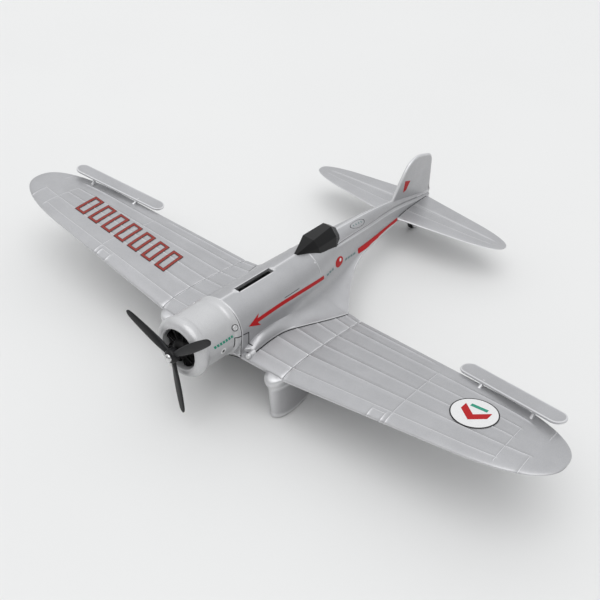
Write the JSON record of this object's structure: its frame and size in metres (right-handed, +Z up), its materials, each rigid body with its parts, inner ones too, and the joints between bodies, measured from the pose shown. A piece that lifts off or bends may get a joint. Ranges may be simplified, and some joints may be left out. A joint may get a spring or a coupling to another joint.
{
  "type": "toy propeller plane",
  "caption": "Silver die-cast low-wing propeller plane that is a coin bank, with a spinning propeller, wheels in trouser legs and a locking coin trap.",
  "frame": {"origin": "centre of the footprint on the floor the model stands on", "axes": "+X to the port wing tip, +Y from nose to tail, +Z up; the fuselage sits nose-up by 6.75 degrees as it stands on its three wheels"},
  "size_m": [0.3898, 0.257, 0.0745],
  "materials": {
    "silver_paint": "satin silver lacquer over a zinc casting",
    "engine_black": "moulded, slightly satin",
    "canopy_black": "gloss black",
    "propeller_black": "semi-gloss black",
    "wheel_black": "moulded black",
    "trap_black": "moulded black",
    "bright_pin": "bright drawn wire",
    "lock_metal": "nickel plated",
    "screw_steel": "zinc plated"
  },
  "bodies": {
    "airframe": {"fuselage_left": "silver_paint", "fuselage_right": "silver_paint", "cowling": "silver_paint", "wing_center_section": "silver_paint", "wing_panel_left": "silver_paint", "wing_panel_right": "silver_paint", "aileron_left": "silver_paint", "aileron_right": "silver_paint", "tailplane": "silver_paint", "fin": "silver_paint", "tail_wheel_fork": "silver_paint", "gear_trouser_left": "silver_paint", "gear_trouser_right": "silver_paint", "engine_face": "engine_black", "canopy": "canopy_black", "propeller_pin": "bright_pin", "main_axle_left": "bright_pin", "main_axle_right": "bright_pin", "tail_wheel_axle": "bright_pin", "body_screws": "screw_steel", "wing_screws": "screw_steel", "gear_screws": "screw_steel"},
    "propeller": {"propeller": "propeller_black"},
    "main_wheel_left": {"main_wheel_left": "wheel_black"},
    "main_wheel_right": {"main_wheel_right": "wheel_black"},
    "tail_wheel": {"tail_wheel": "wheel_black"},
    "coin_trap": {"coin_trap": "trap_black"},
    "lock": {"lock_barrel": "lock_metal", "lock_cam": "lock_metal"}
  },
  "joints": [
    {"name": "propeller_spin", "type": "hinge", "parent": "airframe", "child": "propeller", "pos_m": [0, -0.12373, 0.0494], "axis": [0, 0.9931, -0.1175], "continuous": true},
    {"name": "main_wheel_left_spin", "type": "hinge", "parent": "airframe", "child": "main_wheel_left", "pos_m": [0.0403, -0.07621, 0.0085], "axis": [1, 0, 0], "continuous": true},
    {"name": "main_wheel_right_spin", "type": "hinge", "parent": "airframe", "child": "main_wheel_right", "pos_m": [-0.0403, -0.07621, 0.0085], "axis": [1, 0, 0], "continuous": true},
    {"name": "tail_wheel_spin", "type": "hinge", "parent": "airframe", "child": "tail_wheel", "pos_m": [0, 0.11108, 0.0042], "axis": [1, 0, 0], "continuous": true},
    {"name": "trap_pull", "type": "slide", "parent": "airframe", "child": "coin_trap", "axis": [0, -0.1175, -0.9931], "range_m": [0, 0.022]},
    {"name": "lock_turn", "type": "hinge", "parent": "coin_trap", "child": "lock", "pos_m": [0, -0.06381, 0.02821], "axis": [0, -0.1175, -0.9931], "range_deg": [0, 90]}
  ]
}
